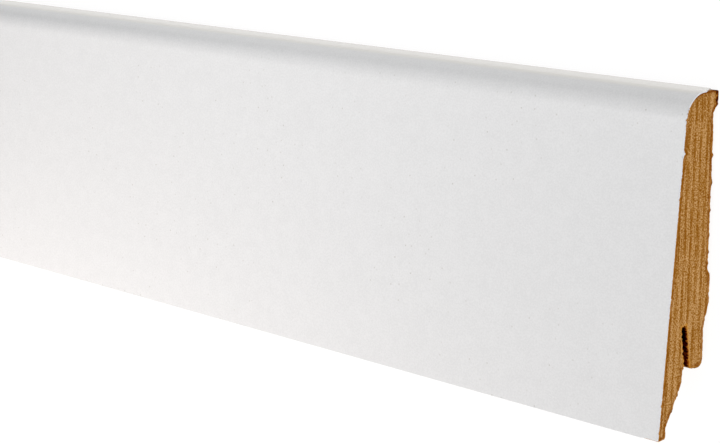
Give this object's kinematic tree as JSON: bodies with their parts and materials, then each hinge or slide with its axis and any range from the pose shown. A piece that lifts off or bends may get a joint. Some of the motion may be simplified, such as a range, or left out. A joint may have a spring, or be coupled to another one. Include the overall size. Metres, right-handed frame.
{
  "type": "skirting board length",
  "caption": "Straight length of foil-wrapped MDF skirting board: sloping white face, rounded top edge, and a milled back with a slot for fixing clips.",
  "frame": {"origin": "centre of the underside as the board lies on its back, in the plane that the wall takes when it is fixed", "axes": "+X along the board; +Y across it, from the toe at the floor to the rounded top edge; +Z from the wall plane out to the white front face"},
  "size_m": [2.4, 0.08, 0.019],
  "materials": {
    "mdf": "sawn and milled fibreboard, bare",
    "white_foil": "satin white decor foil"
  },
  "bodies": {
    "root": {"mdf_core": "mdf", "white_foil": "white_foil"}
  },
  "joints": []
}
